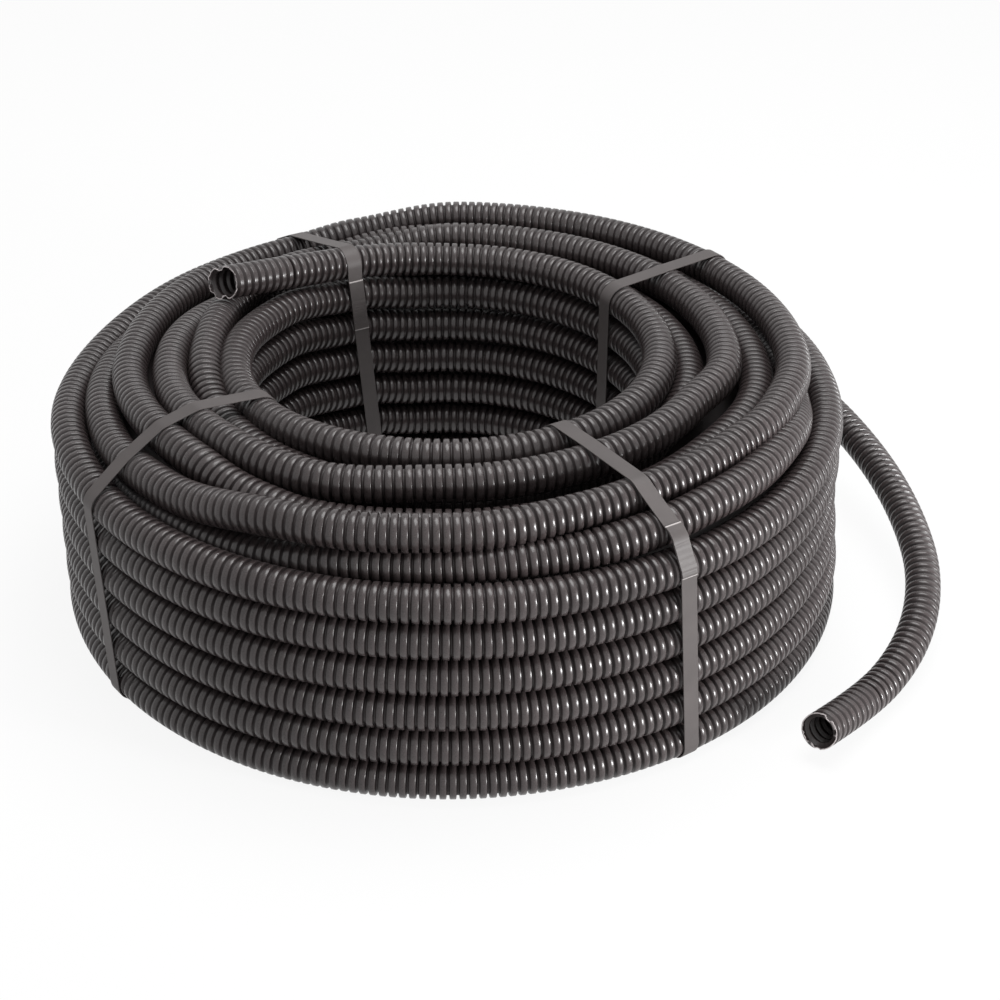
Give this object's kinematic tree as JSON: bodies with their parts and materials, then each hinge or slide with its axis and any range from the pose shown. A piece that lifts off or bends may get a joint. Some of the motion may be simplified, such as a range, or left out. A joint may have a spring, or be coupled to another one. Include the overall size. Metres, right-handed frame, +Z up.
{
  "type": "corrugated conduit coil",
  "caption": "Flat-lying coil of black corrugated plastic conduit, wound in nested columns around an open eye, bound by flat straps, with both cut ends loose.",
  "frame": {"origin": "on the floor, at the middle of the coil's eye", "axes": "+Z up along the coil's axis; -Y towards the viewer of the picture; +X to the viewer's right, where the loose outer end lies"},
  "size_m": [0.6392, 0.5904, 0.2159],
  "materials": {
    "conduit": "satin black moulded plastic",
    "strap": "grey-brown strapping band, finely grained"
  },
  "bodies": {
    "root": {"conduit_coil": "conduit", "conduit_outer_end": "conduit", "strap_front_right": "strap", "strap_front_left": "strap", "strap_back_left": "strap", "strap_back_right": "strap"}
  },
  "joints": []
}
